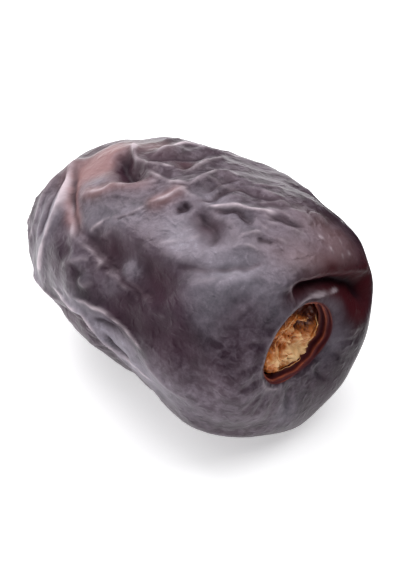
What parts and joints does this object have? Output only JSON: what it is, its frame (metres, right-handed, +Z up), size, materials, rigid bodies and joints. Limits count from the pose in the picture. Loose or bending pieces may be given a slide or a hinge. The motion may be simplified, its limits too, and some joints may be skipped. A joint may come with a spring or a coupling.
{
  "type": "dried date",
  "caption": "Whole dried date with blunt stem end, pointed-oval tip, creased skin and a stem hollow holding dry stalk fibre; lies on its side.",
  "frame": {"origin": "centre of the fruit's bounding box in plan, on the surface that it lies on", "axes": "+X along the fruit towards its stem end, +Z up from the surface, +Y across the fruit"},
  "size_m": [0.0352, 0.026, 0.0238],
  "materials": {
    "date_skin": "dark purple-brown, finely wrinkled waxy skin with a grey-lilac bloom and a soft satin sheen",
    "stalk_fibre": "dry golden-brown papery plant fibre, crumpled and torn, with paler cream edges"
  },
  "bodies": {
    "root": {"date_flesh": "date_skin", "stem_fibre": "stalk_fibre"}
  },
  "joints": []
}
